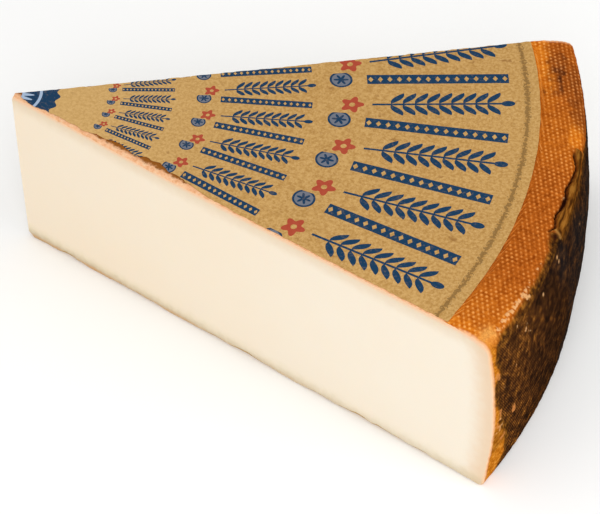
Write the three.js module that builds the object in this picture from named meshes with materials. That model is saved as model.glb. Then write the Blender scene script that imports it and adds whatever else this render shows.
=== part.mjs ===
import * as THREE from 'three';
import { toCreasedNormals } from 'three/addons/utils/BufferGeometryUtils.js';

// An eighth of a wheel of aged mountain cheese, lying on its lower side, with its share of
// the paper disc that covers the wheel's top. Millimetres, +Z up. The tip of the wedge points
// to -X and the rind side to +X, and the middle of the footprint is at the origin. Radii are
// measured from the wheel's axis, which stands just off the tip.

// Driving dimensions of the wheel
const wedgeAngle = THREE.MathUtils.degToRad(44.12); // between the two cut faces
const tipRadius = 3; // the knife leaves the tip blunt
const tipHeight = 104.7; // the top is dished, lowest at the wheel's middle
const rimHeight = 106.8; // highest, where the paper ends
const bandRadius = 282; // start of the bare band round the paper
const brinkRadius = 294; // the band falls faster from here
const brinkHeight = 105.5;
const shoulderRadius = 300; // the band turns down into the rind side
const shoulderHeight = 103.9;
const sideTopRadius = 305.4; // top of the rind side, under the shoulder
const sideTopHeight = 97;
const bellyRadius = 310.2; // widest line of the rind side
const bellyHeight = 45;
const footRadius = 306.3; // the side ends just over the rounded foot
const footHeight = 3;
const footRound = 2.3;
const tipRound = 1.5;
const tipBow = 0.8;

// Relief of the rind, from the front cut along the rim and from the band's start outwards
const ridge = { length: 74, along: 18.6, width: 1.4, height: 0.7 };
const notch = { at: 80, halfLength: 5.5, along: 20.5, width: 2.4, depth: 1.8 };
const crack = { from: 84, to: 146, along: 15.8, wander: 0.9, width: 0.8, depth: 1.7 };
const flap = { from: 86, to: 150, along: 20.5, width: 3.6, height: 0.6 };
const worn = { reach: 20, height: 28, halfHeight: 20, depth: 0.6 };
const lumpDepth = 0.5;

// Paper disc
const paperRadius = 280;
const paperTip = 8;
const paperThickness = 0.3;
const paperGap = 0.2; // rind crust between the paper and the smooth solid
const tear = { radius: 88, halfLength: 32, depth: 4.8 }; // paper torn back from the front cut
const nibble = 0.5; // unevenness of the rest of the paper's cut edges

// Mesh
const rimColumns = 108;
const columnWidth = 9; // columns of the flat parts, which narrow towards the tip
const paperRows = 44;

const halfAngle = wedgeAngle / 2;
const axisX = -(bellyRadius + tipRadius * Math.cos(halfAngle)) / 2; // the wheel's axis

const hump = (x, centre, width) => Math.exp(-(((x - centre) / width) ** 2));
const within = (x, from, to, soft) =>
  THREE.MathUtils.smoothstep(x, from - soft, from + soft) *
  (1 - THREE.MathUtils.smoothstep(x, to - soft, to + soft));

// One stretch of a section: a straight line between two points, or a parabola when a
// control point stands between them. Points are [radius, height].
function stretch(rows, ...corners) {
  const ends = corners.map(([radius, height]) => new THREE.Vector2(radius, height));
  const curve = ends.length === 2 ? new THREE.LineCurve(...ends) : new THREE.QuadraticBezierCurve(...ends);
  return { rows, curve };
}

// The wheel's section: out under the wedge, up the rind side, over the shoulder and the
// band, back over the dished top, and down the tip.
function wheelSection() {
  const fall = (rimHeight - shoulderHeight) / (shoulderRadius - bandRadius) ** 2;
  const brinkSlope = 2 * fall * (brinkRadius - bandRadius);
  const middle = (brinkRadius + shoulderRadius) / 2;
  const sideTopControl = (bellyHeight + sideTopHeight) / 2;
  const sideFootControl = (bellyHeight + footHeight) / 2;
  return [
    stretch(6, [tipRadius + tipRound, 0], [footRadius - footRound, 0]),
    stretch(2, [footRadius - footRound, 0], [footRadius - 0.3, 0], [footRadius, footHeight]),
    stretch(5, [footRadius, footHeight], [bellyRadius, sideFootControl], [bellyRadius, bellyHeight]),
    stretch(7, [bellyRadius, bellyHeight], [bellyRadius, sideTopControl], [sideTopRadius, sideTopHeight]),
    stretch(
      8,
      [sideTopRadius, sideTopHeight],
      [sideTopRadius - 0.6, shoulderHeight - 1.5],
      [shoulderRadius, shoulderHeight],
    ),
    stretch(
      6,
      [shoulderRadius, shoulderHeight],
      [middle, brinkHeight - brinkSlope * (middle - brinkRadius)],
      [brinkRadius, brinkHeight],
    ),
    stretch(4, [brinkRadius, brinkHeight], [(brinkRadius + bandRadius) / 2, rimHeight], [bandRadius, rimHeight]),
    stretch(8, [bandRadius, rimHeight], [bandRadius / 2, tipHeight], [tipRadius, tipHeight]),
    stretch(3, [tipRadius, tipHeight], [tipRadius - tipBow, tipHeight / 2], [tipRadius, tipRound]),
    stretch(1, [tipRadius, tipRound], [tipRadius + tipRound, 0]),
  ];
}

// The section's points in order, each with its outward direction and with how far out it
// lies from the band's start, measured along the section.
function sectionPoints(stretches) {
  const points = stretches.flatMap(({ rows, curve }) =>
    curve
      .getSpacedPoints(rows)
      .slice(0, rows)
      .map((at, i) => {
        const heading = curve.getTangentAt(i / rows);
        return { at, out: new THREE.Vector2(heading.y, -heading.x) };
      }),
  );
  const start = points.findIndex(({ at }) => at.x === bandRadius && at.y === rimHeight);
  points[start].along = 0;
  for (let i = start - 1; i >= 0; i--) {
    points[i].along = points[i + 1].along + points[i].at.distanceTo(points[i + 1].at);
  }
  return points;
}

// How far the rind stands out of its smooth section, or in when negative.
function rindRelief(along, height, arc) {
  const foot = THREE.MathUtils.smoothstep(height, 1, 18);
  const lumps = foot * (0.5 + 0.5 * Math.sin(arc / 17 + height / 13) * Math.cos(arc / 9 - height / 21));
  const crumbs = 1 + 0.5 * Math.sin(arc * 1.19) + 0.4 * Math.sin(arc * 0.7 + 1);
  const crackLine = crack.along + crack.wander * Math.sin(arc / 4.3) + 0.5 * Math.sin(arc / 1.9);
  const wornPatch = (1 - THREE.MathUtils.smoothstep(arc, 0, worn.reach)) * hump(height, worn.height, worn.halfHeight);
  return (
    ridge.height * crumbs * hump(along, ridge.along, ridge.width) * within(arc, 0, ridge.length, 3) -
    notch.depth * hump(along, notch.along, notch.width) * hump(arc, notch.at, notch.halfLength) -
    crack.depth * hump(along, crackLine, crack.width) * within(arc, crack.from, crack.to, 3) +
    flap.height * hump(along, flap.along, flap.width) * within(arc, flap.from, flap.to, 2) -
    lumpDepth * lumps * THREE.MathUtils.smoothstep(along, 20, 34) -
    worn.depth * foot * wornPatch
  );
}

// Points across the wedge at one radius and height, from the front cut to the far one.
function arcRow(columns, from, to, place) {
  return Array.from({ length: columns + 1 }, (_, i) => {
    const azimuth = from + ((to - from) * i) / columns;
    const { x: radius, y: height } = place(azimuth);
    return new THREE.Vector3(axisX + radius * Math.cos(azimuth), radius * Math.sin(azimuth), height);
  });
}

const columnsAt = (radius) => Math.max(1, Math.round((radius * wedgeAngle) / columnWidth));

// Triangles between two rows of vertices that need not have the same number of points.
function zip(lower, upper, faces) {
  let i = 0;
  let j = 0;
  while (i < lower.length - 1 || j < upper.length - 1) {
    const nextLower = (i + 1) / (lower.length - 1);
    const nextUpper = (j + 1) / (upper.length - 1);
    if (j === upper.length - 1 || (i < lower.length - 1 && nextLower <= nextUpper)) {
      faces.push(lower[i], lower[i + 1], upper[j]);
      i++;
    } else {
      faces.push(lower[i], upper[j + 1], upper[j]);
      j++;
    }
  }
}

// A closed body from a loop of rows. The rows up to the turn go outwards below, the rest
// come back above, and their ends make the two cut faces.
function bodyFromRows(rows, turn) {
  const positions = rows.flat().flatMap((p) => p.toArray());
  let count = 0;
  const loop = rows.map((row) => row.map(() => count++));
  const faces = [];
  loop.forEach((row, i) => zip(row, loop[(i + 1) % loop.length], faces));
  const below = loop.slice(0, turn + 1);
  const above = loop.slice(turn + 1).reverse();
  const startOf = (row) => row[0];
  const endOf = (row) => row[row.length - 1];
  zip(below.map(startOf), above.map(startOf), faces);
  zip(above.map(endOf), below.map(endOf), faces);
  const geometry = new THREE.BufferGeometry();
  geometry.setAttribute('position', new THREE.Float32BufferAttribute(positions, 3));
  geometry.setIndex(faces);
  return toCreasedNormals(geometry, 0.6);
}

// The cheese, paste and rind in one: the wheel's section turned through the wedge's angle.
function makeCheese() {
  const section = sectionPoints(wheelSection());
  const rows = section.map(({ at, out, along }) => {
    const onRind = along !== undefined && at.y > 0;
    const columns = at.x > bandRadius - 1 ? rimColumns : columnsAt(at.x);
    return arcRow(columns, -halfAngle, halfAngle, (azimuth) => {
      const arc = (azimuth + halfAngle) * footRadius;
      return onRind ? at.clone().addScaledVector(out, rindRelief(along, at.y, arc)) : at;
    });
  });
  const belly = section.findIndex(({ at }) => at.y >= bellyHeight);
  const material = new THREE.MeshStandardMaterial({ color: 0xf8e8cc, roughness: 0.55 });
  return new THREE.Mesh(bodyFromRows(rows, belly), material);
}

// Height of the dished top under the paper.
function topHeight(radius) {
  return tipHeight + (rimHeight - tipHeight) * (radius / bandRadius) ** 2;
}

// The paper: a thin sheet on the dished top, torn back along the front cut.
function makePaper() {
  const sheet = (lift, radii) =>
    radii.map((radius) => {
      const torn = tear.depth * hump(radius, tear.radius, tear.halfLength) * (0.75 + 0.25 * Math.sin(radius / 6));
      const frontInset = torn + nibble * (1 + Math.sin(radius / 2.7));
      const farInset = nibble * (1 + Math.sin(radius / 3.9));
      const from = -halfAngle + frontInset / radius;
      const to = halfAngle - farInset / radius;
      const at = new THREE.Vector2(radius, topHeight(radius) + lift);
      return arcRow(columnsAt(radius), from, to, () => at);
    });
  const radii = Array.from({ length: paperRows + 1 }, (_, i) => paperTip + ((paperRadius - paperTip) * i) / paperRows);
  const under = sheet(paperGap, radii);
  const over = sheet(paperGap + paperThickness, radii.toReversed());
  const material = new THREE.MeshStandardMaterial({ color: 0xc89b62, roughness: 0.85 });
  return new THREE.Mesh(bodyFromRows([...under, ...over], paperRows), material);
}

const wedge = new THREE.Group();
const cheese = makeCheese();
cheese.name = 'cheese';
wedge.add(cheese);
const paper = makePaper();
paper.name = 'paper_disc';
wedge.add(paper);

export default wedge;
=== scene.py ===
import math

import bpy
import numpy as np
from mathutils import Matrix, Vector


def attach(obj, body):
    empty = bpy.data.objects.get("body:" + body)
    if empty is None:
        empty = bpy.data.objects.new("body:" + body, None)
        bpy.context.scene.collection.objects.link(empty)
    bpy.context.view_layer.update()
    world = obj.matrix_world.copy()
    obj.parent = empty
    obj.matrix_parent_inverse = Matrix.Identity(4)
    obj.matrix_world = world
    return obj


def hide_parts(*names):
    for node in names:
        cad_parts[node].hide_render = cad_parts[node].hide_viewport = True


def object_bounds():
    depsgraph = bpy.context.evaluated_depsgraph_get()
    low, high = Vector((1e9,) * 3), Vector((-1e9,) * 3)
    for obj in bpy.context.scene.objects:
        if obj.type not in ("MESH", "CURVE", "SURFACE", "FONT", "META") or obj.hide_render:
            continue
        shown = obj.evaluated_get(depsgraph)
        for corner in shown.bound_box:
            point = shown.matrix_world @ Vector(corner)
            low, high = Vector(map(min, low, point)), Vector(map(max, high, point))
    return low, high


# A wedge of washed-rind mountain cheese: the paste and its rind in one skin, and the wheel's
# printed paper on top. Shapes are worked out in millimetres and made in metres.

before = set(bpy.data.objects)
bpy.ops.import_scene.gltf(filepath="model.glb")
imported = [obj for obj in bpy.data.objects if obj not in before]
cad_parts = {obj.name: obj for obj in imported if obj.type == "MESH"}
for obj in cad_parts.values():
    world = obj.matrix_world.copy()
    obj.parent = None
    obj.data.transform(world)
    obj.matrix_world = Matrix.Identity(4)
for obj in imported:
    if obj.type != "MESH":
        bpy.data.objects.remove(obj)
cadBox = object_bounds()
mm = 0.001


def linear(hexColour):  # sRGB hex to the linear colour that a shader takes
    channels = [int(hexColour[i:i + 2], 16) / 255 for i in (1, 3, 5)]
    return [c / 12.92 if c <= 0.04045 else ((c + 0.055) / 1.055) ** 2.4 for c in channels] + [1.0]


def addNode(tree, kind, settings=None, inputs=None, stops=None):
    node = tree.nodes.new(kind)
    for key, value in (settings or {}).items():
        setattr(node, key, value)
    for key, value in (inputs or {}).items():
        if isinstance(value, bpy.types.NodeSocket):
            tree.links.new(value, node.inputs[key])
        else:
            node.inputs[key].default_value = value
    for i, (place, colour) in enumerate(stops or []):
        element = node.color_ramp.elements[i] if i < 2 else node.color_ramp.elements.new(place)
        element.position, element.color = place, linear(colour)
    return node


def newMaterial(name):
    material = bpy.data.materials.new(name)
    material.use_nodes = True
    tree = material.node_tree
    tree.nodes.clear()
    return material, tree


def smooth(x, low, high):  # 0 below low, 1 above high, an S between them
    t = np.clip((x - low) / (high - low), 0, 1)
    return t * t * (3 - 2 * t)


def hump(x, centre, width):  # a bell, 1 at its centre
    return np.exp(-(((x - centre) / width) ** 2))


def within(x, low, high, soft):  # 1 from low to high, with soft ends
    return smooth(x, low - soft, low + soft) * (1 - smooth(x, high - soft, high + soft))


def patches(x, y, size, seed):  # 0 to 1: random values on a square lattice of that size, blended
    cells = 128
    lattice = np.random.default_rng(seed).random((cells, cells))
    u, v = x / size, y / size
    i, j = np.floor(u).astype(int), np.floor(v).astype(int)
    s, t = smooth(u - i, 0, 1), smooth(v - j, 0, 1)
    i, j, iNext, jNext = i % cells, j % cells, (i + 1) % cells, (j + 1) % cells
    near = lattice[i, j] * (1 - s) + lattice[iNext, j] * s
    far = lattice[i, jNext] * (1 - s) + lattice[iNext, jNext] * s
    return near * (1 - t) + far * t


def addObject(name, data):
    added = bpy.data.objects.new(name, data)
    bpy.context.scene.collection.objects.link(added)
    return added


def makePiece(name, points, faces, materials, slots=None, values=None, maps=None):
    # points in mm, faces as triangles, values and maps with one entry for each point
    mesh = bpy.data.meshes.new(name)
    mesh.vertices.add(len(points))
    mesh.vertices.foreach_set("co", (points * mm).astype(np.float32).ravel())
    mesh.loops.add(faces.size)
    mesh.loops.foreach_set("vertex_index", faces.astype(np.int32).ravel())
    mesh.polygons.add(len(faces))
    mesh.polygons.foreach_set("loop_start", np.arange(0, faces.size, 3, dtype=np.int32))
    if slots is not None:
        mesh.polygons.foreach_set("material_index", slots.astype(np.int32))
    mesh.polygons.foreach_set("use_smooth", np.ones(len(faces), bool))
    mesh.update(calc_edges=True)
    mesh.set_sharp_from_angle(angle=math.radians(60))  # the cuts' edges stay crisp
    for key, value in (values or {}).items():
        mesh.attributes.new(key, "FLOAT", "POINT").data.foreach_set("value", value.astype(np.float32))
    for key, value in (maps or {}).items():
        layer = mesh.uv_layers.new(name=key)
        layer.data.foreach_set("uv", value[faces.ravel()].astype(np.float32).ravel())
    for material in materials:
        mesh.materials.append(material)
    print(f"{name}: {len(points)} points, {len(faces)} triangles")
    return addObject(name, mesh)


# The wheel's sizes, as in the solid
wheel = {
    "angle": math.radians(44.12),  # between the two cuts
    "tip": (3, 104.7), "band": (282, 106.8), "brink": (294, 105.5), "shoulder": (300, 103.9),
    "sideTop": (305.4, 97), "belly": (310.2, 45), "foot": (306.3, 4.5),
    "footRound": 4.5, "tipRound": 3.5, "tipBow": 0.8,
}
halfAngle = wheel["angle"] / 2
axisX = -(wheel["belly"][0] + wheel["tip"][0] * math.cos(halfAngle)) / 2  # the wheel's axis
rimArc = wheel["foot"][0]  # arcs along the rim are measured at this radius
bendSteps = 119  # in which each bend of the section is drawn


def bend(start, control, end):  # a parabola from start to end, headed for the control
    t = np.linspace(0, 1, bendSteps + 1)[:, None]
    return (1 - t) ** 2 * np.array(start) + 2 * t * (1 - t) * np.array(control) + t ** 2 * np.array(end)


def sectionLine():
    # The wheel's section as one closed line: from the tip out over the dished top, the band and
    # the shoulder, down the rind side, back under the wedge and up the tip.
    tipR, tipZ = wheel["tip"]
    bandR, bandZ = wheel["band"]
    brinkR, brinkZ = wheel["brink"]
    shoulderR, shoulderZ = wheel["shoulder"]
    topR, topZ = wheel["sideTop"]
    bellyR, bellyZ = wheel["belly"]
    footR, footZ = wheel["foot"]
    fall = (bandZ - shoulderZ) / (shoulderR - bandR) ** 2
    middle = (brinkR + shoulderR) / 2
    middleZ = brinkZ - 2 * fall * (brinkR - bandR) * (middle - brinkR)
    tipRound, footIn = wheel["tipRound"], footR - wheel["footRound"]
    stretches = [
        bend((tipR, tipZ), (bandR / 2, tipZ), (bandR, bandZ)),
        bend((bandR, bandZ), ((bandR + brinkR) / 2, bandZ), (brinkR, brinkZ)),
        bend((brinkR, brinkZ), (middle, middleZ), (shoulderR, shoulderZ)),
        bend((shoulderR, shoulderZ), (topR - 0.6, shoulderZ - 1.5), (topR, topZ)),
        bend((topR, topZ), (bellyR, (topZ + bellyZ) / 2), (bellyR, bellyZ)),
        bend((bellyR, bellyZ), (bellyR, (bellyZ + footZ) / 2), (footR, footZ)),
        bend((footR, footZ), (footR - 0.3, 0), (footIn, 0)),
        bend((footIn, 0), (footIn / 2, 0), (tipR + tipRound, 0)),
        bend((tipR + tipRound, 0), (tipR, 0), (tipR, tipRound)),
        bend((tipR, tipRound), (tipR - wheel["tipBow"], tipZ / 2), (tipR, tipZ)),
    ]
    line = np.concatenate([s[:-1] for s in stretches] + [stretches[-1][-1:]])
    run = np.concatenate([[0], np.cumsum(np.hypot(*np.diff(line, axis=0).T))])
    marks = [run[bendSteps * i] for i in range(len(stretches) + 1)]
    return line, run - marks[1], [mark - marks[1] for mark in marks]


section, sectionRun, sectionMarks = sectionLine()  # run is 0 where the bare band starts
shoulderEnd = sectionMarks[4]
footStart, footEnd = sectionMarks[6], sectionMarks[7]
dishedTop = section[:bendSteps]
wholeTop = section[:4 * bendSteps + 1]  # with the band and the shoulder
rindSide = section[4 * bendSteps + 1:6 * bendSteps + 1][::-1]  # upwards


# Camera, where the photograph was taken from
view = {
    "at": (246.6, -892.7, 980.1),
    "towards": (9.4, -27.4, 50.0),
    "roll": 0.94,  # degrees
    "lens": 148.3,  # on a sensor 36 mm wide
}


def placeCamera():
    data = bpy.data.cameras.new("camera")
    data.lens, data.sensor_width, data.sensor_fit = view["lens"], 36, "HORIZONTAL"
    data.clip_start, data.clip_end = 0.05, 50
    camera = addObject("camera", data)
    at, towards = Vector(view["at"]) * mm, Vector(view["towards"]) * mm
    roll = Matrix.Rotation(-math.radians(view["roll"]), 3, "Z")
    turn = (towards - at).to_track_quat("-Z", "Y").to_matrix() @ roll
    camera.matrix_world = Matrix.Translation(at) @ turn.to_4x4()
    bpy.context.scene.camera = camera
    print("camera placed")


placeCamera()

# The cheese. Places on the rind are given by arc, from the front cut along the rim, and by
# along, from the start of the bare band outwards and down the side.
rind = {
    "weave": 0.26,  # mm that the cloth's marks stand up on the band
    "threads": [(2.42, 16.4), (2.45, -97.1)],  # mm between marks and their direction from +X
    "rough": 0.22,  # mm that the rind is uneven all over
    "ridge": {"length": 74, "along": 18.6, "width": 1.8, "height": 0.4},
    "notch": {"at": 81, "halfLength": 5.0, "along": 20.0, "width": 2.6, "depth": 2.0},
    "crack": {"from": 86, "to": 147, "width": 0.7, "depth": 1.7},
    "flap": {"from": 87, "to": 150, "height": 0.7},
    "worn": {"reach": 20, "height": 28, "halfHeight": 20, "depth": 0.6},
    "lumps": 0.5,  # mm that the side's hollows are deep
    "drawnIn": 1.2,  # mm that the side is pressed in, away from the front cut
    # Lines on the rind: arcs, and how far along the line lies at each
    "crackLine": ([84, 90, 98, 108, 120, 128, 135, 144, 150],
                  [15.5, 16.3, 15.9, 16.6, 17.2, 18.8, 20, 17.8, 17]),
    "flapEnd": ([86, 108, 120, 140, 150], [23.8, 23.6, 22.2, 21.6, 20.8]),
    "smearStart": ([0, 8, 30, 60, 74, 80, 86, 88, 150, 158, 175, 235],
                   [24, 23.4, 21.9, 20.8, 19.8, 17.4, 16.6, 24, 23, 24, 29, 31]),
    # Places along the side, and the arc that is free of smear at each
    "smearClear": ([20, 27, 35, 43, 48, 60, 68, 80, 88, 93, 101, 111, 116, 122],
                   [7, 7, 3.9, 6.2, 2, 2, 4.2, 6.8, 11, 12, 14.5, 15.5, 14, 11]),
    # Flakes: arc, along and half their width
    "paleSpots": [(26, 27.8, 1.0), (27.6, 29.6, 0.5), (36, 34.2, 0.9), (33.8, 37.2, 1.1), (36.2, 39.8, 0.9),
                  (38, 41.8, 0.6), (56.4, 33.4, 1.1), (57.8, 36.6, 0.7), (54.5, 42.5, 0.7), (78, 28.6, 1.0),
                  (79.4, 32, 1.2), (111.7, 17.4, 1.0), (120, 44, 2.0), (118, 47.5, 1.2), (40.6, 20.4, 1.5),
                  (42.6, 22.6, 0.8), (10, 55, 0.9), (21.5, 49.5, 0.7), (47, 49, 0.8), (37, 70, 0.9),
                  (6, 77, 2.4), (7.4, 82, 2.2), (8.8, 72.5, 1.1), (3.6, 84, 1.2)],
    "tanSpots": [(5.3, 79, 3.6), (18.4, 78.5, 2.6), (7, 71, 2.4), (11, 92, 2.4), (4.4, 44, 2.6),
                 (14, 46, 2)],
}


def crackLine(arc):  # a jagged line, leaning out where the flap is widest
    lean = np.interp(arc, *rind["crackLine"])
    return lean + 0.5 * (patches(arc, arc * 0, 1.3, 41) - 0.5) + 2 * (patches(arc, arc * 0, 7, 43) - 0.5)


def flapEnd(arc):  # how far along the flap of smear reaches
    return np.interp(arc, *rind["flapEnd"])


def rindRelief(along, height, arc):
    # How far the rind stands out of its smooth section, in mm: a sum of bells and soft-ended
    # bands over arc and along
    ridge, notch, crack, flap, worn = (rind[k] for k in ("ridge", "notch", "crack", "flap", "worn"))
    foot = smooth(height, 1, 18)
    lumps = foot * (0.5 + 0.5 * np.sin(arc / 17 + height / 13) * np.cos(arc / 9 - height / 21))
    crumbs = 2.2 * patches(arc, along, 1.5, 42)
    wornPatch = (1 - smooth(arc, 0, worn["reach"])) * hump(height, worn["height"], worn["halfHeight"])
    hollow = hump(arc, notch["at"], notch["halfLength"]) * (1 - smooth(arc, flap["from"] - 1, flap["from"]))
    onRidge = crumbs * hump(along, ridge["along"], ridge["width"]) * within(arc, 0, ridge["length"], 3)
    inCrack = hump(along, crackLine(arc), crack["width"]) * within(arc, crack["from"], crack["to"], 3)
    onFlap = within(along, crackLine(arc) + 0.5, flapEnd(arc), 0.7)
    onFlap *= within(arc, flap["from"], flap["to"], 0.7)
    return (
        ridge["height"] * onRidge
        - notch["depth"] * hump(along, notch["along"], notch["width"]) * hollow
        - crack["depth"] * inCrack
        + flap["height"] * onFlap
        - rind["lumps"] * lumps * smooth(along, 20, 34)
        - rind["drawnIn"] * foot * smooth(along, 16, 26) * smooth(arc, 20, 70)
        - worn["depth"] * foot * wornPatch
    )


def clothMarks(x, y):
    # Waves at the threads' spacing leave one raised mark for each crossing, ranked in columns,
    # that runs into the next one where the cloth lay loose. 0 to 1
    waves = []
    for spacing, degrees in rind["threads"]:
        turn = math.radians(degrees)
        waves.append((x * math.cos(turn) + y * math.sin(turn)) * 2 * math.pi / spacing)
    held = 0.3 + 1.0 * patches(x, y, 4.6, 18)
    total = 1.1 * np.cos(waves[0]) + held * (0.68 * np.cos(waves[1]) + 0.6 * np.cos(waves[0] + waves[1]))
    return np.clip((total + 1.1) / 3.4, 0, 1)


def rindMasks(along, arc, height, x, y):
    # What lies where on the rind, each 0 to 1
    rag = patches(arc, along, 3.1, 11) + 0.5 * patches(arc, along, 1.3, 12) - 0.75
    broad = patches(arc, along, 14, 13) - 0.5
    flap, crack = rind["flap"], rind["crack"]
    start = np.interp(arc, *rind["smearStart"])
    clear = np.interp(along, *rind["smearClear"])
    masks = {}
    masks["smear"] = smooth(along + 1.6 * rag, start, start + 2)
    masks["smear"] *= smooth(arc + 2.4 * rag, clear - 1, clear + 1.6)

    # Golden brown where the smear starts, darkest just beyond the ridge as painted shade in the groove
    # there, round its clear end and at the worn corner
    masks["verge"] = 0.9 * hump(along + rag, start + 0.6, 1.7) + 0.6 * hump(along + rag, start + 4.6, 1.0)
    masks["verge"] *= smooth(arc, 6, 12) * (1 - smooth(arc, 150, 165))
    masks["verge"] += 0.7 * hump(arc + 2.4 * rag, clear + 1.6, 1.8) * smooth(along, 24, 30)
    masks["verge"] += 0.4 * within(along + 3 * rag, 80, 99, 2) * within(arc + 2 * rag, 1.5, 15, 1.6)
    reach = np.interp(along, [60, 88], [3, 12])
    masks["gold"] = (1 - smooth(arc, reach, reach + 8)) * smooth(along, 19, 25)

    # Brown streaks near the far cut, a spot at the paper's edge and a brown shade below them
    masks["stain"] = within(arc + 8 * broad, 188, 228, 5) * within(along + 4 * rag, 4.5, 15, 3)
    streaks = patches(arc, 2.2 * along, 7, 14) + 0.5 * patches(arc, 2.2 * along, 2.4, 15)
    masks["stain"] *= 0.35 + 0.65 * smooth(streaks, 0.5, 1.15)
    masks["stain"] += 0.8 * hump(arc + rag, 191.4, 2.6) * hump(along, 0, 1.1)
    brown = 0.5 * within(arc + 14 * broad, 166, 216, 9) * within(along + 5 * rag, 14, 27, 3)
    masks["stain"] = np.maximum(masks["stain"], brown)

    # Brighter orange at the front cut, above the flap's end and beside the paper
    masks["glow"] = np.maximum.reduce([
        1 - smooth(arc + 5 * rag, 3, 12),
        0.28 * within(arc + 6 * rag, 134, 176, 12),
        0.45 * (1 - smooth(arc + 20 * broad, 15, 45)),
        within(arc, 150, 168, 4) * within(along + rag, 13, 21, 2),
        0.7 * hump(along, 17.6, 2.2) * within(arc, 6, 36, 8),
        smooth(arc, 150, 226) * (1 - smooth(along + 3 * rag, 3, 9)),
    ])

    # The crack, painted near black as the shade inside it, and the flap of smear that stands off it
    onFlap = within(arc + 0.6 * rag, flap["from"], flap["to"], 0.8)
    masks["flap"] = onFlap * within(along + 0.5 * rag, crackLine(arc) + 0.6, flapEnd(arc), 0.6)
    masks["flapRim"] = onFlap * hump(along, flapEnd(arc), 1.3)
    slant = arc + 0.8 * rag + 0.25 * (along - 20)
    masks["flapEdge"] = 0.5 * hump(slant, flap["from"] + 0.4, 0.5) * within(along, 16.8, 23, 1)
    masks["crack"] = hump(along, crackLine(arc), 0.75) * within(arc, crack["from"], crack["to"], 2)
    masks["crack"] += hump(along, 17.2, 1.3) * hump(arc, 109, 5)
    # Painted shadow in the hollow under the flap's blunt end
    masks["crack"] += 0.9 * hump(along, 19, 2.2) * hump(arc, 84.6, 1.9)

    # Pale flakes on the ridge and in spots, tan ones at the corner, and pale cut rind
    masks["pale"] = hump(along, 18.9 + 1.6 * rag, 1.5) * within(arc, 10, 76, 3)
    masks["pale"] *= smooth(patches(arc, along, 1.15, 16) + 0.4 * hump(arc, 30, 14), 0.34, 1.0)
    masks["pale"] *= 1 - 0.3 * smooth(arc, 42, 50)
    masks["tan"] = np.zeros_like(arc)
    for key, spots in (("pale", rind["paleSpots"]), ("tan", rind["tanSpots"])):
        for spotArc, spotAlong, size in spots:
            reach = ((arc - spotArc) / size) ** 2 + ((along - spotAlong) / (1.3 * size)) ** 2 + 3 * rag
            masks[key] += 0.75 * (1 - smooth(reach, -0.6, 1.4))
    fromCut = np.minimum(arc, rimArc * wheel["angle"] - arc)
    masks["edge"] = 0.75 * (1 - smooth(fromCut + 0.6 * rag, 0.3, 2.3)) * smooth(along, 2, 9)
    masks["lit"] = hump(along + rag, 17.8, 3.8) * within(arc + 3 * rag, 0.5, 11.5, 2.5)
    masks["lit"] *= 0.4 + 0.6 * patches(arc, along, 1.8, 19) + 0.5 * patches(arc, along, 0.9, 20)

    # Bluer and darker smear, a painted cool reflection on the far part of the side, the underside, what the
    # paper covers, and the cloth's marks
    masks["coolSheen"] = 0.5 * smooth(arc + 50 * broad, 75, 115) * smooth(along + 30 * broad, 22, 50)
    masks["deep"] = smooth(arc + 30 * broad, 25, 70)
    masks["under"] = 1 - smooth(height, 0.05, 0.8)
    masks["covered"] = 1 - smooth(along, -4.5, -2.4)
    rubbed = 0.8 * (1 - smooth(arc + 3 * rag, 2, 11)) * smooth(along, 12, 16)
    masks["marks"] = clothMarks(x, y) * (0.62 + 0.5 * patches(x, y, 2.9, 17))
    masks["marks"] *= (1 - smooth(along, 21, 26)) * (1 - rubbed)
    return {key: np.clip(value, 0, 1) for key, value in masks.items()}


def joinRows(a, b):  # triangles between two rows of points, one of which may have half the columns
    if len(a) == len(b):
        return np.concatenate([np.c_[a[:-1], a[1:], b[1:]], np.c_[a[:-1], b[1:], b[:-1]]])
    if len(a) > len(b):
        return np.concatenate([np.c_[a[:-1:2], a[1::2], b[:-1]], np.c_[a[1::2], b[1:], b[:-1]],
                               np.c_[a[1::2], a[2::2], b[1:]]])
    return np.concatenate([np.c_[a[:-1], a[1:], b[1::2]], np.c_[a[:-1], b[1::2], b[:-1:2]],
                           np.c_[a[1:], b[2::2], b[1::2]]])


skin = {
    "columns": 512, "halvings": 5,  # on the rim, and how often they halve on the flat parts
    # mm between rows: hidden under the paper, near the band, and so on round the section
    "rowStep": {"under": 1.2, "near": 1.0, "band": 0.5, "side": 1.4, "base": 2.0, "tip": 3.0},
    "footRows": 7,
    "endColumns": (0.9, 2.2, 5.0),  # mm from a cut, where the flat parts' outer columns stand
    "insets": (0.5, 1.1, 1.9, 3.0, 4.6, 7, 11, 17, 26, 38),  # mm, rings on the cut faces
    "spine": {"from": 40, "to": 260, "step": 10, "height": 52.0},  # where the rings close
    "cutIn": 0.06,  # mm that a cut face lies behind its edge
    "edgeWorn": 1.1,  # mm that the front edge is worn down where the paper is torn back
    "footBroken": 3.2,  # mm that the largest chips at the cuts' foot are high
    "droop": 1.0, "droopReach": 7,  # mm that the top sinks to the front cut, and how far from it
    "droopRadii": (55, 290),
}


def topDroop(radius, azimuth):  # half a bell from the front cut inwards, between two radii
    fromCut = (azimuth + halfAngle) * radius
    sinks = skin["droop"] * np.exp(-((fromCut / skin["droopReach"]) ** 2))
    return sinks * within(radius, *skin["droopRadii"], 25)


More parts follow.
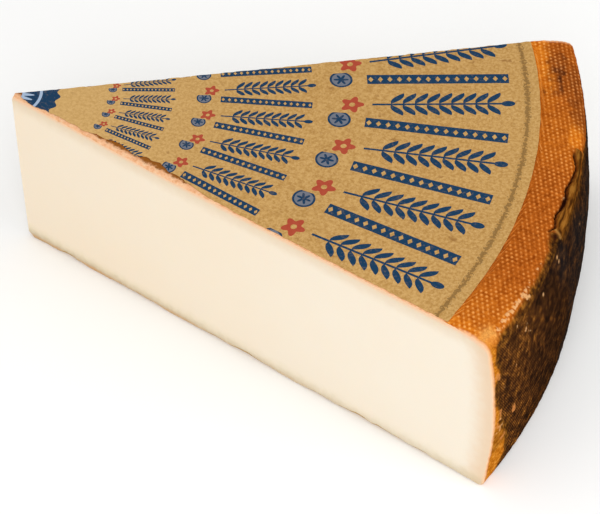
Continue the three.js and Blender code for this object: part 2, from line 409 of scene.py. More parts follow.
def cheeseSkin():
    # The skin over run and azimuth: the section's point at that run, moved along its normal by
    # the relief and turned round the wheel's axis
    halvings, step = skin["halvings"], skin["rowStep"]
    tipStart = sectionMarks[8]
    under = np.arange(sectionMarks[0] + 1, -halvings - 2, step["under"])
    near = np.arange(-halvings - 1, 0.0, step["near"])
    band = np.arange(0.0, shoulderEnd, step["band"])
    side = np.arange(shoulderEnd, footStart, step["side"])
    foot = np.linspace(footStart, footEnd, skin["footRows"])
    below = footEnd + np.arange(1.0, halvings + 2, step["near"])
    base = np.arange(below[-1] + 1.5, tipStart - 1, step["base"])
    tip = np.concatenate([[tipStart], np.arange(sectionMarks[9], sectionMarks[10], step["tip"])])
    runs = np.concatenate([under, near, band, side, foot, below, base, tip])
    level = np.clip(np.ceil(np.maximum(-runs, runs - footEnd)).astype(int), 0, halvings)
    counts = (skin["columns"] >> level) + 1
    run = np.repeat(runs, counts)
    width = np.interp(runs, sectionRun, section[:, 0]) * wheel["angle"]
    coarse = skin["columns"] >> halvings
    outer = [0, 1, 2, 3, coarse - 3, coarse - 2, coarse - 1, coarse]  # columns with a set place
    azimuth = []
    for rowWidth, rowLevel, count in zip(width, level, counts):
        even = np.linspace(0, 1, count)
        ends = np.array(skin["endColumns"]) / max(rowWidth, 24)
        close = np.interp(even * coarse, outer, [0, *ends, *(1 - ends[::-1]), 1])
        azimuth.append(wheel["angle"] * (even + (close - even) * rowLevel / halvings) - halfAngle)
    azimuth = np.concatenate(azimuth)
    firsts = np.concatenate([[0], np.cumsum(counts)])
    rows = [np.arange(firsts[i], firsts[i + 1]) for i in range(len(runs))]

    radius, height = (np.interp(run, sectionRun, section[:, k]) for k in (0, 1))
    heading = np.gradient(section, sectionRun, axis=0)
    outR, outZ = (np.interp(run, sectionRun, sign * heading[:, k]) for k, sign in ((1, -1), (0, 1)))
    length = np.hypot(outR, outZ)
    outR, outZ = outR / length, outZ / length
    arc = (azimuth + halfAngle) * rimArc
    onRind = (run > -8) & (run < footEnd)
    x, y = axisX + radius * np.cos(azimuth), radius * np.sin(azimuth)
    masks = rindMasks(run, arc, height, x, y)
    fine = patches(arc, run, 1.1, 21) + patches(arc, run, 2.7, 22) - 1
    stands = rind["weave"] * (1 - 0.5 * masks["glow"]) * (1 - masks["flap"]) * smooth(height, 0, 6)
    rough = rind["rough"] * (0.6 + 0.8 * smooth(run, 19, 26)) * smooth(height, 0, 4)
    lift = rindRelief(run, height, arc) + stands * (masks["marks"] - 0.5) + rough * fine
    lift = np.where(onRind, lift, 0)
    height = height - np.where(run < 12, topDroop(radius, azimuth), 0)
    radius, height = radius + lift * outR, np.maximum(height + lift * outZ, 0)

    # The knife leaves the edges a little rounded and uneven, and the front one is worn where
    # the paper is torn back
    ends = np.concatenate([[row[0], row[-1]] for row in rows])
    nextIn = np.concatenate([[row[1], row[-2]] for row in rows])
    gap = np.abs(azimuth[nextIn] - azimuth[ends]) * radius[ends]
    onTip = run[ends] > tipStart
    endRun, endSide = run[ends], azimuth[ends] * 90
    crumble = 0.1 + 0.35 * patches(endRun, endSide, 2.3, 23) ** 2
    front = (azimuth[ends] < 0) & (endRun < 0)
    worn = within(radius[ends], 22, 128, 8) * (0.3 + 1.1 * patches(endRun, endRun * 0, 3.7, 25))
    crumble += np.where(front, skin["edgeWorn"] * worn, 0)
    onBase = (endRun > footEnd) & ~onTip
    chips = patches(endRun, endSide, 11, 27) * (0.4 + patches(endRun, endSide, 4.4, 28))
    chips = np.where(onBase, skin["footBroken"] * chips, 0)
    crumble += chips
    height[nextIn] += 0.5 * chips
    inwards = np.where(onTip, 0.02, np.minimum(0.2 + 0.3 * crumble, 0.5 * gap))
    azimuth[ends] -= np.sign(azimuth[ends]) * inwards / radius[ends]
    radius[ends] -= np.where(onTip, 0, crumble * outR[ends])
    height[ends] = np.maximum(height[ends] - np.where(onTip, 0, crumble * outZ[ends]), 0)
    points = np.c_[axisX + radius * np.cos(azimuth), radius * np.sin(azimuth), height]
    faces = [joinRows(row, rows[(i + 1) % len(rows)])[:, ::-1] for i, row in enumerate(rows)]
    slots = [np.full(len(strip), int(at >= tipStart)) for strip, at in zip(faces, runs)]  # the tip is paste

    # Cut faces: rings set in from the skin, closing on a line along the face's middle
    allPoints, count = [points], len(points)
    spineAt = skin["spine"]
    for end, sign in ((0, -1), (-1, 1)):
        ring = np.array([row[end] for row in rows])
        edge = np.c_[radius[ring], height[ring]]
        spineR = np.round(edge[:, 0] / spineAt["step"]) * spineAt["step"]
        spineR = np.clip(spineR, spineAt["from"], spineAt["to"])
        spine = np.c_[spineR, np.full(len(runs), spineAt["height"])]
        reach = np.hypot(*(spine - edge).T)
        for depth in [*skin["insets"], None]:
            t = np.ones(len(runs)) if depth is None else np.minimum(depth / reach, 0.97)
            r, z = (edge * (1 - t)[:, None] + spine * t[:, None]).T
            saw = 0.12 * (patches(r + z * 0.3, z * 0.15, 9, 26 + end) - 0.5) * smooth(t, 0, 0.1)
            turn = sign * (halfAngle - (skin["cutIn"] + saw) * (t < 1) / np.maximum(r, 20))
            allPoints.append(np.c_[axisX + r * np.cos(turn), r * np.sin(turn), z])
            inner = count + np.arange(len(runs))
            count += len(runs)
            strip = joinRows(np.append(ring, ring[0]), np.append(inner, inner[0]))
            faces.append(strip[:, ::-1] if end == 0 else strip)
            slots.append(np.ones(len(strip), int))
            ring = inner
    points, faces, slots = np.concatenate(allPoints), np.concatenate(faces), np.concatenate(slots)
    points = np.clip(points, *(np.array(corner) / mm for corner in cadBox))
    kept, merged = np.unique(np.round(points, 4), axis=0, return_index=True, return_inverse=True)[1:]
    faces = merged.ravel()[faces]
    whole = (faces[:, 0] != faces[:, 1]) & (faces[:, 1] != faces[:, 2]) & (faces[:, 2] != faces[:, 0])
    faces, slots, points = faces[whole], slots[whole], points[kept]

    onSkin = kept < len(run)  # the masks and the map are 0 on the cut faces
    source = np.where(onSkin, kept, 0)
    values = {key: onSkin * value[source] for key, value in masks.items()}
    places = onSkin[:, None] * np.c_[arc, run][source]
    away = np.hypot(points[:, 0] - axisX, points[:, 1])
    topZ = np.interp(away, wholeTop[:, 0], wholeTop[:, 1])
    sideR = np.interp(points[:, 2], rindSide[:, 1], rindSide[:, 0])
    turn = np.arctan2(points[:, 1], points[:, 0] - axisX)
    values["depthTop"] = np.clip(topZ - topDroop(away, turn) - points[:, 2], 0, 60)
    values["depthSide"] = np.clip(sideR - away, 0, 60)
    return points, faces, slots, values, places


def cutPaste():
    # Hard cooked paste, cut with a knife: dense, pale cream, faintly waxy and a little see-through,
    # yellower just under the rind and salmon where the rind itself is cut
    material, tree = newMaterial("cut_paste")
    place = addNode(tree, "ShaderNodeTexCoord").outputs["Object"]
    # Clouds 70 mm wide, grain of 1.1 mm, and 4 mm patches that fray the tints' ends
    cloud, grain, ragged = (
        addNode(tree, "ShaderNodeTexNoise", None,
                {"Vector": place, "Scale": scale, "Detail": 3}).outputs["Fac"]
        for scale in (14, 900, 260))
    split = addNode(tree, "ShaderNodeSeparateXYZ", None, {0: place})
    depths = {"base": addNode(tree, "ShaderNodeMath", {"operation": "MULTIPLY"},
                              {0: split.outputs["Z"], 1: 1000}).outputs[0]}
    for name in ("depthTop", "depthSide"):
        depths[name] = addNode(tree, "ShaderNodeAttribute", {"attribute_name": name}).outputs["Fac"]
    outwards = addNode(tree, "ShaderNodeMath", {"operation": "MULTIPLY_ADD"},
                       {0: split.outputs["X"], 1: 3.2, 2: cloud}).outputs[0]  # paler towards the rind
    colour = addNode(tree, "ShaderNodeMix", {"data_type": "RGBA"},
                     {0: outwards, 6: linear("#f0dfc6"), 7: linear("#efe4d2")}).outputs[2]
    # Depth, mm where the tint starts to fade and where it ends, strength at the tip and at the side
    layers = (
        ("depthTop", 2.5, 12.0, 0.76, 0.68, "#dfc8a9"), ("depthSide", 3.0, 17.0, 0.85, 0.85, "#e3c5a3"),
        ("base", 3.0, 12.0, 0.6, 0.35, "#d6c7a0"), ("base", 2.2, 8.0, 0.85, 0.4, "#c4b292"),
        ("depthTop", 0.6, 3.4, 0.9, 0.85, "#eebf96"), ("depthSide", 0.6, 2.2, 0.6, 0.6, "#f3bd8c"),
        ("base", 1.6, 4.2, 0.9, 0.1, "#c9965e"),
    )
    for name, start, end, tipStrength, sideStrength, tint in layers:
        strength = addNode(tree, "ShaderNodeMapRange", None,
                           {"Value": split.outputs["X"], "From Min": -0.11, "From Max": 0.06,
                            "To Min": tipStrength, "To Max": sideStrength}).outputs[0]
        depth = addNode(tree, "ShaderNodeMath", {"operation": "MULTIPLY_ADD"},
                        {0: ragged, 1: start * 1.6, 2: depths[name]}).outputs[0]
        share = addNode(tree, "ShaderNodeMapRange", {"interpolation_type": "SMOOTHSTEP"},
                        {"Value": depth, "From Min": start * 1.4, "From Max": end + start * 0.8,
                         "To Min": strength, "To Max": 0.0}).outputs[0]
        colour = addNode(tree, "ShaderNodeMix", {"data_type": "RGBA"},
                         {0: share, 6: colour, 7: linear(tint)}).outputs[2]
    bump = addNode(tree, "ShaderNodeBump", None, {"Height": grain, "Strength": 0.12, "Distance": 0.0004})
    shader = addNode(tree, "ShaderNodeBsdfPrincipled", None,
                     {"Base Color": colour, "Roughness": 0.5, "IOR": 1.45, "Subsurface Weight": 0.1,
                      "Subsurface Radius": (0.9, 0.6, 0.35), "Subsurface Scale": 0.004,
                      "Normal": bump.outputs[0]})
    addNode(tree, "ShaderNodeOutputMaterial", None, {"Surface": shader.outputs[0]})
    return material


def washedRind():
    # Rind washed and pressed in cloth: orange brown and cloth-marked on the band, and smeared
    # nearly black on the side, dry and matt all over
    material, tree = newMaterial("washed_rind")
    place = addNode(tree, "ShaderNodeTexCoord").outputs["Object"]
    surface = addNode(tree, "ShaderNodeUVMap", {"uv_map": "rindMap"}).outputs[0]  # arc and along in mm
    masks = {}
    for name in ("smear", "verge", "gold", "stain", "glow", "flap", "flapRim", "flapEdge", "crack", "pale",
                 "tan", "edge", "lit", "coolSheen", "deep", "under", "covered", "marks"):
        masks[name] = addNode(tree, "ShaderNodeAttribute", {"attribute_name": name}).outputs["Fac"]
    # Noises in patches about 9, 4, 1.3, 0.7, 0.7 and 2.4 mm wide. The rind's map is in mm
    noises = {}
    for name, vector, scale, detail in (
        ("broad", surface, 0.11, 3), ("blotch", surface, 0.27, 4), ("speck", surface, 0.75, 3),
        ("flake", surface, 1.5, 3), ("grit", place, 1500, 3), ("ragged", place, 420, 3),
    ):
        noises[name] = addNode(tree, "ShaderNodeTexNoise", None,
                               {"Vector": vector, "Scale": scale, "Detail": detail,
                                "Roughness": 0.6}).outputs["Fac"]
    noises["patchy"] = addNode(tree, "ShaderNodeMix", None,
                               {0: 0.55, 2: noises["speck"], 3: noises["blotch"]}).outputs[0]
    for name, noise in (("pale", "flake"), ("tan", "speck")):  # flakes with broken edges
        broken = addNode(tree, "ShaderNodeMath", {"operation": "MULTIPLY"},
                         {0: noises[noise], 1: masks[name]}).outputs[0]
        masks[name] = addNode(tree, "ShaderNodeMapRange", {"interpolation_type": "SMOOTHSTEP"},
                              {"Value": broken, "From Min": 0.13, "From Max": 0.4,
                               "To Max": 0.85}).outputs[0]
    masks["lit"] = addNode(tree, "ShaderNodeMath", {"operation": "MULTIPLY"},
                           {0: noises["flake"], 1: masks["lit"]}).outputs[0]

    # Washed orange rind: the cloth's marks are paler than the ground between them
    raised = addNode(tree, "ShaderNodeMapRange", {"interpolation_type": "SMOOTHSTEP"},
                     {"Value": masks["marks"], "From Min": 0.3, "From Max": 1.0, "To Max": 0.85}).outputs[0]
    worked = addNode(tree, "ShaderNodeMath", {"operation": "MULTIPLY_ADD"},
                     {0: masks["marks"], 1: 0.22, 2: noises["patchy"]}).outputs[0]
    mottle = addNode(tree, "ShaderNodeMapRange", None,
                     {"Value": worked, "From Min": 0.4, "From Max": 0.78}).outputs[0]
    grounds = {}
    for name, low, high, dots in (
        ("plain", "#893e0b", "#c96c22", "#e1944c"), ("glow", "#b8580c", "#ee912c", "#f8b364"),
        ("stain", "#4a220f", "#86451b", "#c48a58"),
    ):
        ground = addNode(tree, "ShaderNodeMix", {"data_type": "RGBA"},
                         {0: mottle, 6: linear(low), 7: linear(high)}).outputs[2]
        grounds[name] = addNode(tree, "ShaderNodeMix", {"data_type": "RGBA"},
                                {0: raised, 6: ground, 7: linear(dots)}).outputs[2]

    # Smear on the side: black brown, with golden specks where the rind shows through
    turned = addNode(tree, "ShaderNodeMapping", None,
                     {"Vector": surface, "Rotation": (0, 0, math.radians(30))})
    lines = addNode(tree, "ShaderNodeTexWave", {"wave_type": "BANDS", "bands_direction": "X"},
                    {"Vector": turned.outputs[0], "Scale": 0.314 / 1.1, "Distortion": 1.5,
                     "Detail": 2}).outputs["Fac"]  # threads 1.1 mm apart
    tone = -0.222
    for source, weight in (
        (noises["speck"], 0.34), (noises["blotch"], 0.62), (noises["broad"], 0.42), (lines, 0.11),
        (masks["deep"], -0.09),
    ):
        tone = addNode(tree, "ShaderNodeMath", {"operation": "MULTIPLY_ADD"},
                       {0: source, 1: weight, 2: tone}).outputs[0]
    dark = addNode(tree, "ShaderNodeValToRGB", None, {0: tone},
                   [(0.36, "#1d110b"), (0.46, "#352010"), (0.55, "#512f15"), (0.63, "#7a4a1d"),
                    (0.72, "#b0752e")])
    # Painted cool reflection on the far part of the side: the smear again in darker, bluer browns
    coolSheenDark = addNode(tree, "ShaderNodeValToRGB", None, {0: tone},
                       [(0.38, "#141a1d"), (0.48, "#222323"), (0.58, "#3c3024"), (0.72, "#80603a")])
    smear = addNode(tree, "ShaderNodeMix", {"data_type": "RGBA"},
                    {0: masks["coolSheen"], 6: dark.outputs[0], 7: coolSheenDark.outputs[0]}).outputs[2]
    drawn = addNode(tree, "ShaderNodeMapping", None,
                    {"Vector": surface, "Scale": (0.2, 1.1, 1)}).outputs[0]
    streaks = addNode(tree, "ShaderNodeTexNoise", None,
                      {"Vector": drawn, "Scale": 0.6, "Detail": 4}).outputs["Fac"]
    flap = addNode(tree, "ShaderNodeValToRGB", None, {0: streaks},
                   [(0.36, "#42240a"), (0.48, "#784715"), (0.62, "#966224")]).outputs[0]
    stretched = addNode(tree, "ShaderNodeMapping", None,
                        {"Vector": surface, "Scale": (0.6, 0.35, 1)}).outputs[0]
    strands = addNode(tree, "ShaderNodeTexNoise", None,
                      {"Vector": stretched, "Scale": 0.8, "Detail": 4}).outputs["Fac"]
    # Dark to golden brown: the golden part is the rind's own strip, the dark part painted shade in the
    # groove beyond the ridge
    verge = addNode(tree, "ShaderNodeValToRGB", None, {0: strands},
                    [(0.38, "#3a220c"), (0.5, "#603a12"), (0.66, "#946022")]).outputs[0]
    gold = addNode(tree, "ShaderNodeValToRGB", None, {0: noises["patchy"]},
                   [(0.36, "#904c0a"), (0.5, "#c0721a"), (0.64, "#e49c3e")]).outputs[0]

    # Where the paper is torn back: salmon crumbs at the cut edge, then dark rind up to the paper
    acrossCut = (1000 * math.sin(halfAngle), 1000 * math.cos(halfAngle), 0)  # from metres to mm
    fromAxis = addNode(tree, "ShaderNodeVectorMath", {"operation": "DOT_PRODUCT"},
                       {0: place, 1: acrossCut}).outputs["Value"]
    fromCut = addNode(tree, "ShaderNodeMath", {"operation": "ADD"},
                      {0: fromAxis, 1: -axisX * math.sin(halfAngle)}).outputs[0]
    frayed = addNode(tree, "ShaderNodeMath", {"operation": "MULTIPLY_ADD"},
                     {0: noises["ragged"], 1: 5.0, 2: fromCut}).outputs[0]
    salmon = addNode(tree, "ShaderNodeMapRange", {"interpolation_type": "SMOOTHSTEP"},
                     {"Value": frayed, "From Min": 4.6, "From Max": 6.4,
                      "To Min": 1.0, "To Max": 0.0}).outputs[0]
    crumbs = addNode(tree, "ShaderNodeValToRGB", None, {0: noises["ragged"]},
                     [(0.3, "#dc9e6e"), (0.48, "#efb68a"), (0.68, "#f5caa0")]).outputs[0]
    bared = addNode(tree, "ShaderNodeMix", {"data_type": "RGBA"},
                    {0: salmon, 6: linear("#8f5520"), 7: crumbs}).outputs[2]

    # Each layer covers those before it
    colour = grounds["plain"]
    for name, tint in (
        ("glow", grounds["glow"]), ("stain", grounds["stain"]), ("gold", gold), ("lit", linear("#f9b860")),
        ("smear", smear), ("verge", verge), ("tan", linear("#c47e42")), ("flap", flap),
        ("flapRim", linear("#3a2108")), ("flapEdge", linear("#c8924c")), ("pale", linear("#e2ac72")),
        # Near black in the crack and in the hollow before the flap: painted shade
        ("crack", linear("#2c1009")), ("edge", linear("#f9c59a")), ("covered", bared),
        ("under", linear("#c6a473")),
    ):
        colour = addNode(tree, "ShaderNodeMix", {"data_type": "RGBA"},
                         {0: masks[name], 6: colour, 7: tint}).outputs[2]
    relief = addNode(tree, "ShaderNodeMath", {"operation": "ADD"},
                     {0: noises["speck"], 1: noises["grit"]}).outputs[0]
    bump = addNode(tree, "ShaderNodeBump", None, {"Height": relief, "Strength": 0.45, "Distance": 0.0006})
    shader = addNode(tree, "ShaderNodeBsdfPrincipled", None,
                     {"Base Color": colour, "Roughness": 0.8, "Specular IOR Level": 0.0,
                      "Normal": bump.outputs[0]})
    addNode(tree, "ShaderNodeOutputMaterial", None, {"Surface": shader.outputs[0]})
    return material


points, faces, slots, values, places = cheeseSkin()
cheese = makePiece("wedge_of_cheese", points, faces, [washedRind(), cutPaste()], slots, values,
                   {"rindMap": places})
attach(cheese, "root")
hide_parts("cheese")
print("cheese done")

# The paper disc's share on the wedge
paper = {
    "radius": 280, "tip": 8, "rows": 240, "columns": 60, "thickness": 0.2,
    "gap": 0.1,  # mm above the smooth top, room for the crust that it is stuck to
    "waves": 0.08,  # mm that the sheet rises and falls
    "ragged": 0.9,  # mm that the front edge wanders
    # mm that the paper's edge stands back from the front cut, by radius
    "tornAt": [8, 14, 20, 25, 52, 57, 64, 70, 78, 85, 90, 97, 102, 107, 113, 120, 128, 134, 150, 280],
    "torn": [2.4, 0.8, 0.8, 1.8, 2.1, 4.0, 3.8, 5.0, 5.3, 3.2, 5.5, 6.0, 5.2, 3.9, 4.3, 3.4, 2.2, 1.3,
             1.0, 0.9],
}


def paperSheet():
    # A thin sheet over radius and azimuth: its height is the dished top's plus slow waves, and
    # its sides stand back from the cuts by the tear and by random frays
    radii = np.linspace(paper["tip"], paper["radius"], paper["rows"])
    share = np.linspace(0, 1, paper["columns"])
    frays = patches(radii, radii * 0, 1.7, 32) + patches(radii, radii * 0, 4.5, 33) - 1
    front = np.interp(radii, paper["tornAt"], paper["torn"])
    front = front + paper["ragged"] * frays * (0.25 + 0.25 * np.minimum(front, 3))
    far = 0.6 + 0.7 * (patches(radii, radii * 0, 3.3, 34) - 0.3)
    low, high = -halfAngle + front / radii, halfAngle - far / radii
    azimuth = low[:, None] + (high - low)[:, None] * share
    radius = np.repeat(radii[:, None], paper["columns"], 1)
    radius[-1] += 0.3 * patches(azimuth[-1] * paper["radius"], azimuth[-1] * 0, 2.5, 35) - 0.3
    x, y = axisX + radius * np.cos(azimuth), radius * np.sin(azimuth)
    lift = paper["gap"] + paper["waves"] * patches(x, y, 11, 36)
    height = np.interp(radius, dishedTop[:, 0], dishedTop[:, 1]) - topDroop(radius, azimuth) + lift
    top = np.stack([x, y, height + paper["thickness"]], -1)
    bottom = np.stack([x, y, height], -1)
    points = np.concatenate([top.reshape(-1, 3), bottom.reshape(-1, 3)])
    grid = np.arange(radius.size).reshape(radius.shape)
    lower = grid + radius.size
    faces = [joinRows(grid[i], grid[i + 1]) for i in range(len(grid) - 1)]
    faces += [joinRows(lower[i + 1], lower[i]) for i in range(len(grid) - 1)]
    edge = np.concatenate([grid[0], grid[1:, -1], grid[-1, -2::-1], grid[-2::-1, 0]])
    faces.append(joinRows(edge + radius.size, edge))
    maps = np.concatenate([np.c_[radius.ravel(), (azimuth + halfAngle).ravel()]] * 2)
    return points, np.concatenate(faces)[:, ::-1], maps


printing = {
    "cell": 2 * math.pi / 36,  # 36 pairs of a sprig and a bar round the wheel, in three rings
    "rings": {"outer": (227, 1.05), "middle": (137, 0.68), "inner": (74.5, 0.39)},  # mm radius, scale
    "limits": (166, 95),  # mm radius between the rings
    "sprigAt": -8.8, "barAt": 9.8,  # mm beside the middle of a cell, in the outer ring
    "navy": "#023657", "red": "#a8382c", "grey": "#74767f", "brown": "#6e4f26", "paleBlue": "#a9bcd4",
}


def kraftPaper():
    # Brown kraft paper, unbleached and matt: fine fibres and a few dark specks, printed with
    # one dull coat of dark blue, red and grey
    material, tree = newMaterial("printed_kraft_paper")
    place = addNode(tree, "ShaderNodeTexCoord").outputs["Object"]
    # Clouds 45 mm wide, fibres of 0.9 mm, mottle of 1.7 mm and specks 5 mm apart
    cloud, fibres, mottle, specks = (
        addNode(tree, "ShaderNodeTexNoise", None,
                {"Vector": place, "Scale": scale, "Detail": detail, "Roughness": 0.6}).outputs["Fac"]
        for scale, detail in ((22, 3), (1100, 3), (580, 3), (190, 2)))
    printMap = addNode(tree, "ShaderNodeUVMap", {"uv_map": "printMap"}).outputs[0]
    split = addNode(tree, "ShaderNodeSeparateXYZ", None, {0: printMap})  # radius in mm, azimuth
    colour = addNode(tree, "ShaderNodeMix", {"data_type": "RGBA"},
                     {0: cloud, 6: linear("#b2874a"), 7: linear("#c29757")}).outputs[2]
    for source, low, high, strength, tint in (
        (mottle, 0.42, 0.7, 0.44, "#dab374"), (mottle, 0.56, 0.3, 0.42, "#96692f"),
        (fibres, 0.5, 0.72, 0.4, "#e0b981"), (specks, 0.66, 0.76, 0.7, "#8f6230"),
    ):
        share = addNode(tree, "ShaderNodeMapRange", None,
                        {"Value": source, "From Min": low, "From Max": high, "To Max": strength}).outputs[0]
        colour = addNode(tree, "ShaderNodeMix", {"data_type": "RGBA"},
                         {0: share, 6: colour, 7: linear(tint)}).outputs[2]

    tipwards = addNode(tree, "ShaderNodeMapRange", None,
                       {"Value": split.outputs[0], "From Min": 30.0, "From Max": 150.0,
                        "To Min": 0.36, "To Max": 0.0}).outputs[0]  # less handled near the wheel's middle
    colour = addNode(tree, "ShaderNodeMix", {"data_type": "RGBA"},
                     {0: tipwards, 6: colour, 7: linear("#dab67a")}).outputs[2]

    # The print, step by step: a name, a Math operation and its terms, where a word stands for
    # an earlier step. A shape is 1 inside and 0 outside.
    made = {"radius": split.outputs[0], "azimuth": split.outputs[1], "mottle": mottle}
    (outerAt, outerSize), (middleAt, middleSize), (innerAt, innerSize) = printing["rings"].values()
    cell = printing["cell"]
    steps = (
        ("outer", "GREATER_THAN", "radius", printing["limits"][0]),
        ("inner", "LESS_THAN", "radius", printing["limits"][1]),
        ("at", "MULTIPLY_ADD", "outer", outerAt - middleAt, middleAt),
        ("ringAt", "MULTIPLY_ADD", "inner", innerAt - middleAt, "at"),
        ("size", "MULTIPLY_ADD", "outer", outerSize - middleSize, middleSize),
        ("ringSize", "MULTIPLY_ADD", "inner", innerSize - middleSize, "size"),
        ("fromRing", "SUBTRACT", "radius", "ringAt"),
        ("out", "DIVIDE", "fromRing", "ringSize"),  # outwards from the ring's middle, in mm
        ("shiftOuter", "MULTIPLY_ADD", "outer", 0.42 * cell, "azimuth"),
        ("shift", "MULTIPLY_ADD", "inner", 0.5 * cell, "shiftOuter"),
        ("turn", "WRAP", "shift", cell / 2, -cell / 2),
        ("turned", "MULTIPLY", "turn", "radius"),
        ("across", "DIVIDE", "turned", "ringSize"),  # across the cell, in mm
        ("fromMiddle", "ABSOLUTE", "out"),
        # sprig: leaves in pairs that lean outwards, a stem and a bud
        ("offSprig", "SUBTRACT", "across", printing["sprigAt"]), ("stemOff", "ABSOLUTE", "offSprig"),
        ("lean", "MULTIPLY_ADD", "stemOff", -0.8, "out"), ("leaf", "WRAP", "lean", 3.0, -3.0),
        ("leafOff", "ABSOLUTE", "leaf"), ("leafAt", "SUBTRACT", "stemOff", 4.3),
        ("leafRel", "DIVIDE", "leafAt", 3.9), ("leafSq", "MULTIPLY", "leafRel", "leafRel"),
        ("leafHalf", "MULTIPLY_ADD", "leafSq", -2.3, 2.3), ("leafIn", "LESS_THAN", "leafOff", "leafHalf"),
        ("leanOff", "ABSOLUTE", "lean"), ("leafEnd", "LESS_THAN", "leanOff", 27),
        ("leaves", "MULTIPLY", "leafIn", "leafEnd"), ("stemIn", "LESS_THAN", "stemOff", 0.65),
        ("stemEnd", "LESS_THAN", "fromMiddle", 33), ("stem", "MULTIPLY", "stemIn", "stemEnd"),
        ("budAt", "SUBTRACT", "out", 34.5), ("budRel", "DIVIDE", "budAt", 3.4),
        ("budSq", "MULTIPLY", "budRel", "budRel"), ("budSide", "DIVIDE", "stemOff", 2.0),
        ("budSum", "MULTIPLY_ADD", "budSide", "budSide", "budSq"), ("bud", "LESS_THAN", "budSum", 1.0),
        ("leafy", "MAXIMUM", "leaves", "stem"), ("sprig", "MAXIMUM", "leafy", "bud"),
        # bar with a row of lozenges left bare
        ("offBar", "SUBTRACT", "across", printing["barAt"]), ("barOff", "ABSOLUTE", "offBar"),
        ("barIn", "LESS_THAN", "barOff", 3.4), ("barEnd", "LESS_THAN", "fromMiddle", 35.5),
        ("barBody", "MULTIPLY", "barIn", "barEnd"), ("gem", "WRAP", "out", 2.4, -2.4),
        ("gemOff", "ABSOLUTE", "gem"), ("gemRel", "DIVIDE", "gemOff", 1.3),
        ("gemSide", "DIVIDE", "barOff", 1.9), ("gemSum", "ADD", "gemRel", "gemSide"),
        ("gemOut", "GREATER_THAN", "gemSum", 1.0), ("bar", "MULTIPLY", "barBody", "gemOut"),
        # red flower with five petals, inwards of the sprig
        ("flowerAt", "ADD", "out", 43.0), ("flowerTurn", "ARCTAN2", "offSprig", "flowerAt"),
        ("flowerFive", "MULTIPLY", "flowerTurn", 5.0), ("flowerWave", "COSINE", "flowerFive"),
        ("flowerEdge", "MULTIPLY_ADD", "flowerWave", 1.2, 4.8),
        ("flowerSq", "MULTIPLY", "flowerAt", "flowerAt"),
        ("flowerSum", "MULTIPLY_ADD", "offSprig", "offSprig", "flowerSq"),
        ("flowerFar", "SQRT", "flowerSum"), ("flowerIn", "LESS_THAN", "flowerFar", "flowerEdge"),
        ("flowerOut", "GREATER_THAN", "flowerFar", 1.5), ("flower", "MULTIPLY", "flowerIn", "flowerOut"),
        # grey rosette in a dark ring, inwards of the bar
        ("roseAt", "ADD", "out", 48.5), ("roseSq", "MULTIPLY", "roseAt", "roseAt"),
        ("roseSum", "MULTIPLY_ADD", "offBar", "offBar", "roseSq"), ("roseFar", "SQRT", "roseSum"),
        ("roseRound", "LESS_THAN", "roseFar", 5.8), ("roseMid", "LESS_THAN", "roseFar", 4.7),
        ("roseTurn", "ARCTAN2", "offBar", "roseAt"), ("roseSix", "MULTIPLY", "roseTurn", 6.0),
        ("roseWave", "COSINE", "roseSix"), ("roseEdge", "MULTIPLY_ADD", "roseWave", 1.2, 2.6),
        ("rosePetals", "LESS_THAN", "roseFar", "roseEdge"),
        ("rosette", "SUBTRACT", "roseMid", "rosePetals"),
        # the wheel's middle: a scalloped dark disc with a pale ring and pale petals
        ("discTurn", "MULTIPLY", "azimuth", 24.0), ("discWave", "COSINE", "discTurn"),
        ("discEdge", "MULTIPLY_ADD", "discWave", 1.0, 27.5), ("disc", "LESS_THAN", "radius", "discEdge"),
        ("ringOff", "SUBTRACT", "radius", 18.0), ("ringFrom", "ABSOLUTE", "ringOff"),
        ("paleRing", "LESS_THAN", "ringFrom", 0.8), ("petalEdge", "MULTIPLY_ADD", "discWave", 2.6, 12.0),
        ("petals", "LESS_THAN", "radius", "petalEdge"), ("discPale", "MAXIMUM", "paleRing", "petals"),
        # broken brown line near the rim
        ("lineAt", "SUBTRACT", "radius", 273.3), ("lineOff", "ABSOLUTE", "lineAt"),
        ("lineHalf", "MULTIPLY_ADD", "mottle", 9.0, -3.45), ("line", "LESS_THAN", "lineOff", "lineHalf"),
        ("motifs", "MAXIMUM", "sprig", "bar"), ("ringed", "MAXIMUM", "motifs", "roseRound"),
        ("dark", "MAXIMUM", "ringed", "disc"), ("wear", "MULTIPLY_ADD", "mottle", -0.7, 1.36),
    )
    for name, operation, *terms in steps:
        inputs = {i: made[term] if isinstance(term, str) else term for i, term in enumerate(terms)}
        made[name] = addNode(tree, "ShaderNodeMath", {"operation": operation}, inputs).outputs[0]
    for shape, ink, cover in (("line", "brown", 0.7), ("dark", "navy", 0.985), ("rosette", "grey", 0.9),
                              ("flower", "red", 0.9), ("discPale", "paleBlue", 0.9)):
        worn = addNode(tree, "ShaderNodeMath", {"operation": "MULTIPLY"},
                       {0: made[shape], 1: made["wear"]}).outputs[0]
        share = addNode(tree, "ShaderNodeMath", {"operation": "MINIMUM"}, {0: worn, 1: cover}).outputs[0]
        colour = addNode(tree, "ShaderNodeMix", {"data_type": "RGBA"},
                         {0: share, 6: colour, 7: linear(printing[ink])}).outputs[2]
    bump = addNode(tree, "ShaderNodeBump", None, {"Height": fibres, "Strength": 0.25, "Distance": 0.0003})
    shader = addNode(tree, "ShaderNodeBsdfPrincipled", None,
                     {"Base Color": colour, "Roughness": 0.85, "Specular IOR Level": 0.1,
                      "Normal": bump.outputs[0]})
    addNode(tree, "ShaderNodeOutputMaterial", None, {"Surface": shader.outputs[0]})
    return material


points, faces, maps = paperSheet()
sheet = makePiece("paper_disc_share", points, faces, [kraftPaper()], maps={"printMap": maps})
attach(sheet, "root")
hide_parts("paper_disc")
print("paper done")

# Floor and light, in mm
studio = {"floor": "#fcfcfb", "floorSize": 6000, "worldStrength": 0.73, "aim": (0, 0, 50)}


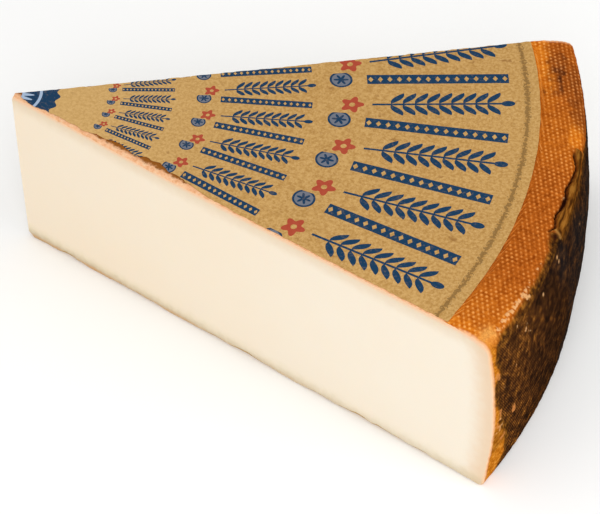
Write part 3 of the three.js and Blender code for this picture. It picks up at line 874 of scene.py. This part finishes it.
def setStudio():
    size = studio["floorSize"] / 2
    corners = np.array([[-size, -size, 0], [size, -size, 0], [size, size, 0], [-size, size, 0]], float)
    material, tree = newMaterial("studio_floor")  # matt white paper
    shader = addNode(tree, "ShaderNodeBsdfPrincipled", None,
                     {"Base Color": linear(studio["floor"]), "Roughness": 0.9})
    addNode(tree, "ShaderNodeOutputMaterial", None, {"Surface": shader.outputs[0]})
    floor = makePiece("floor", corners, np.array([[0, 1, 2], [0, 2, 3]]), [material])
    world = bpy.data.worlds.new("studio")
    world.use_nodes = True
    bpy.context.scene.world = world
    background = world.node_tree.nodes["Background"]
    background.inputs["Color"].default_value = (1, 1, 1, 1)
    background.inputs["Strength"].default_value = studio["worldStrength"]
    aim = Vector(studio["aim"]) * mm
    lights = (  # place in mm, size in mm, watts
        ("key", (300, -1500, 1500), 1200, 15.2),
        ("side", (1500, -300, 1100), 1200, 8.2),
    )
    for name, place, width, watts in lights:
        data = bpy.data.lights.new(name, "AREA")
        data.shape, data.size, data.energy = "DISK", width * mm, watts
        light = addObject(name, data)
        light.location = Vector(place) * mm
        light.rotation_euler = (aim - light.location).to_track_quat("-Z", "Y").to_euler()
    scene = bpy.context.scene
    scene.view_settings.view_transform = "Standard"
    scene.view_settings.look = "None"


setStudio()
print("studio set")
